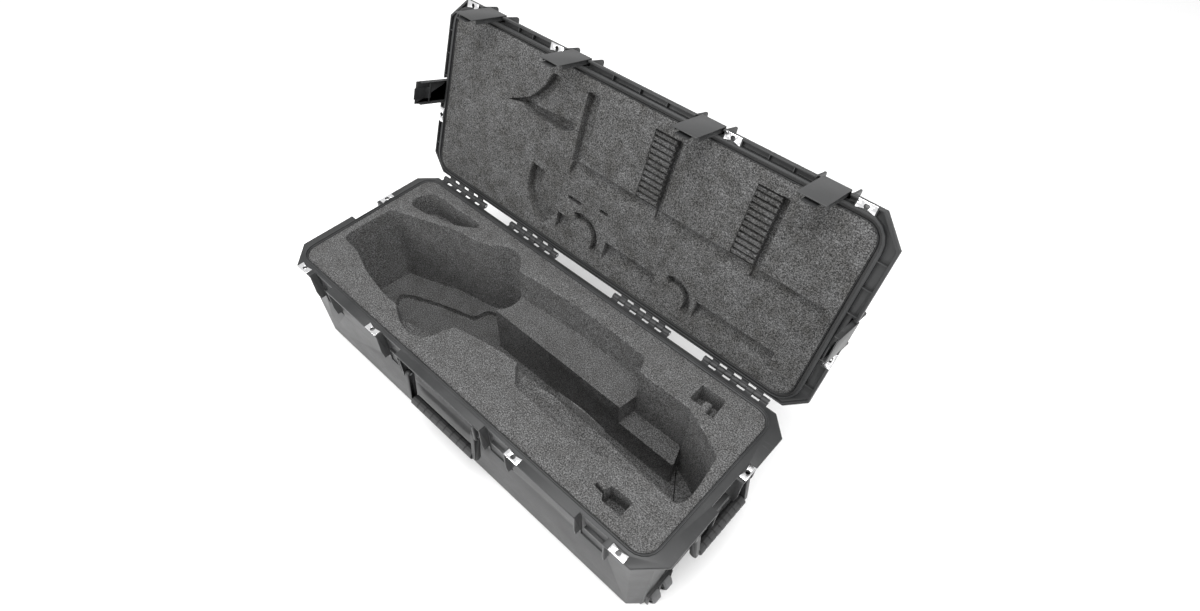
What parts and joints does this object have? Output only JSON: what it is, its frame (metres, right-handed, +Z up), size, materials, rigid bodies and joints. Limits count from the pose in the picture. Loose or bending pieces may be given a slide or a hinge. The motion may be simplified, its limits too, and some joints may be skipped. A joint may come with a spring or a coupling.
{
  "type": "telescope carry case",
  "caption": "Long wheeled hard case with a hinged lid, draw latches, folding handles and foam cut to hold a telescope and its accessories.",
  "frame": {"origin": "on the flat underside of the base, under the middle of the foam block", "axes": "+X along the case towards the wheeled end, +Y from the latches towards the hinges, +Z up"},
  "size_m": [0.994, 0.5743, 0.622],
  "materials": {
    "charcoal_shell": "satin",
    "closed_cell_foam": "matte",
    "seal_rubber": "matte",
    "grey_lever": "satin",
    "dark_fitting": "satin",
    "polished_steel": "polished",
    "pin_steel": "satin",
    "grip_rubber": "matte",
    "wheel_tread": "matte"
  },
  "bodies": {
    "base": {"base_foam_back_left": "closed_cell_foam", "base_foam_back_right": "closed_cell_foam", "base_foam_front_left": "closed_cell_foam", "base_foam_front_right": "closed_cell_foam", "base_padlock_plate_1": "polished_steel", "base_padlock_plate_2": "polished_steel", "base_padlock_plate_3": "polished_steel", "base_padlock_plate_4": "polished_steel", "base_padlock_plate_5": "polished_steel", "base_padlock_plate_6": "polished_steel", "base_shell": "charcoal_shell", "end_handle_pin_1": "pin_steel", "end_handle_pin_2": "pin_steel", "front_axle": "pin_steel", "front_handle_pin_1": "pin_steel", "front_handle_pin_2": "pin_steel", "front_wheel_carrier": "dark_fitting", "hinge_pin_1": "pin_steel", "hinge_pin_2": "pin_steel", "hinge_pin_3": "pin_steel", "hinge_pin_4": "pin_steel", "pressure_valve": "dark_fitting", "rear_axle": "pin_steel", "rear_wheel_carrier": "dark_fitting"},
    "lid": {"latch_pin_1": "pin_steel", "latch_pin_2": "pin_steel", "latch_pin_3": "pin_steel", "latch_pin_4": "pin_steel", "latch_pin_5": "pin_steel", "latch_pin_6": "pin_steel", "lid_foam": "closed_cell_foam", "lid_gasket": "seal_rubber", "lid_padlock_plate_1": "polished_steel", "lid_padlock_plate_2": "polished_steel", "lid_padlock_plate_3": "polished_steel", "lid_padlock_plate_4": "polished_steel", "lid_padlock_plate_5": "polished_steel", "lid_padlock_plate_6": "polished_steel", "lid_shell": "charcoal_shell"},
    "front_latch_1": {"front_latch_1": "grey_lever"},
    "front_trigger_1": {"front_trigger_1": "dark_fitting"},
    "front_latch_2": {"front_latch_2": "grey_lever"},
    "front_trigger_2": {"front_trigger_2": "dark_fitting"},
    "front_latch_3": {"front_latch_3": "grey_lever"},
    "front_trigger_3": {"front_trigger_3": "dark_fitting"},
    "front_latch_4": {"front_latch_4": "grey_lever"},
    "front_trigger_4": {"front_trigger_4": "dark_fitting"},
    "left_latch": {"left_latch": "grey_lever"},
    "left_trigger": {"left_trigger": "dark_fitting"},
    "right_latch": {"right_latch": "grey_lever"},
    "right_trigger": {"right_trigger": "dark_fitting"},
    "front_handle": {"front_handle": "dark_fitting", "front_handle_grip": "grip_rubber"},
    "end_handle": {"end_handle": "dark_fitting", "end_handle_grip": "grip_rubber"},
    "wheel_1": {"wheel_1": "wheel_tread"},
    "wheel_2": {"wheel_2": "wheel_tread"},
    "wheel_3": {"wheel_3": "wheel_tread"},
    "wheel_4": {"wheel_4": "wheel_tread"}
  },
  "joints": [
    {"name": "lid_hinge", "type": "hinge", "parent": "base", "child": "lid", "pos_m": [0, 0.1926, 0.24], "axis": [1, 0, 0], "range_deg": [0, 109.2]},
    {"name": "front_latch_1_turn", "type": "hinge", "parent": "lid", "child": "front_latch_1", "pos_m": [-0.369, 0.32957, 0.59532], "axis": [-1, 0, 0], "range_deg": [-2.5, 88]},
    {"name": "front_latch_2_turn", "type": "hinge", "parent": "lid", "child": "front_latch_2", "pos_m": [-0.146, 0.32957, 0.59532], "axis": [-1, 0, 0], "range_deg": [-2.5, 88]},
    {"name": "front_latch_3_turn", "type": "hinge", "parent": "lid", "child": "front_latch_3", "pos_m": [0.146, 0.32957, 0.59532], "axis": [-1, 0, 0], "range_deg": [-2.5, 88]},
    {"name": "front_latch_4_turn", "type": "hinge", "parent": "lid", "child": "front_latch_4", "pos_m": [0.369, 0.32957, 0.59532], "axis": [-1, 0, 0], "range_deg": [-2.5, 88]},
    {"name": "left_latch_turn", "type": "hinge", "parent": "lid", "child": "left_latch", "pos_m": [-0.4805, 0.2661, 0.41305], "axis": [0, -0.3289, -0.9444], "range_deg": [-5, 85]},
    {"name": "right_latch_turn", "type": "hinge", "parent": "lid", "child": "right_latch", "pos_m": [0.4905, 0.2661, 0.41305], "axis": [0, 0.3289, 0.9444], "range_deg": [-5, 85]},
    {"name": "front_trigger_1_press", "type": "hinge", "parent": "front_latch_1", "child": "front_trigger_1", "pos_m": [-0.369, 0.2811, 0.60758], "axis": [-1, 0, 0], "range_deg": [0, 6], "stiffness_Nm_per_rad": 0.02, "springref_deg": -8.59},
    {"name": "front_trigger_2_press", "type": "hinge", "parent": "front_latch_2", "child": "front_trigger_2", "pos_m": [-0.146, 0.2811, 0.60758], "axis": [-1, 0, 0], "range_deg": [0, 6], "stiffness_Nm_per_rad": 0.02, "springref_deg": -8.59},
    {"name": "front_trigger_3_press", "type": "hinge", "parent": "front_latch_3", "child": "front_trigger_3", "pos_m": [0.146, 0.2811, 0.60758], "axis": [-1, 0, 0], "range_deg": [0, 6], "stiffness_Nm_per_rad": 0.02, "springref_deg": -8.59},
    {"name": "front_trigger_4_press", "type": "hinge", "parent": "front_latch_4", "child": "front_trigger_4", "pos_m": [0.369, 0.2811, 0.60758], "axis": [-1, 0, 0], "range_deg": [0, 6], "stiffness_Nm_per_rad": 0.02, "springref_deg": -8.59},
    {"name": "left_trigger_press", "type": "hinge", "parent": "left_latch", "child": "left_trigger", "pos_m": [-0.4805, 0.21888, 0.4295], "axis": [0, -0.3289, -0.9444], "range_deg": [0, 6], "stiffness_Nm_per_rad": 0.02, "springref_deg": -8.59},
    {"name": "right_trigger_press", "type": "hinge", "parent": "right_latch", "child": "right_trigger", "pos_m": [0.4905, 0.21888, 0.4295], "axis": [0, 0.3289, 0.9444], "range_deg": [0, 6], "stiffness_Nm_per_rad": 0.02, "springref_deg": -8.59},
    {"name": "front_handle_swing", "type": "hinge", "parent": "base", "child": "front_handle", "pos_m": [0, -0.188, 0.195], "axis": [-1, 0, 0], "range_deg": [0, 95]},
    {"name": "end_handle_swing", "type": "hinge", "parent": "base", "child": "end_handle", "pos_m": [0.4875, -0.005, 0.21], "axis": [0, -1, 0], "range_deg": [0, 95]},
    {"name": "wheel_1_roll", "type": "hinge", "parent": "base", "child": "wheel_1", "pos_m": [0.465, -0.134, 0.0235], "axis": [0, 1, 0], "continuous": true},
    {"name": "wheel_2_roll", "type": "hinge", "parent": "base", "child": "wheel_2", "pos_m": [0.465, -0.102, 0.0235], "axis": [0, 1, 0], "continuous": true},
    {"name": "wheel_3_roll", "type": "hinge", "parent": "base", "child": "wheel_3", "pos_m": [0.465, 0.086, 0.0235], "axis": [0, 1, 0], "continuous": true},
    {"name": "wheel_4_roll", "type": "hinge", "parent": "base", "child": "wheel_4", "pos_m": [0.465, 0.118, 0.0235], "axis": [0, 1, 0], "continuous": true}
  ]
}
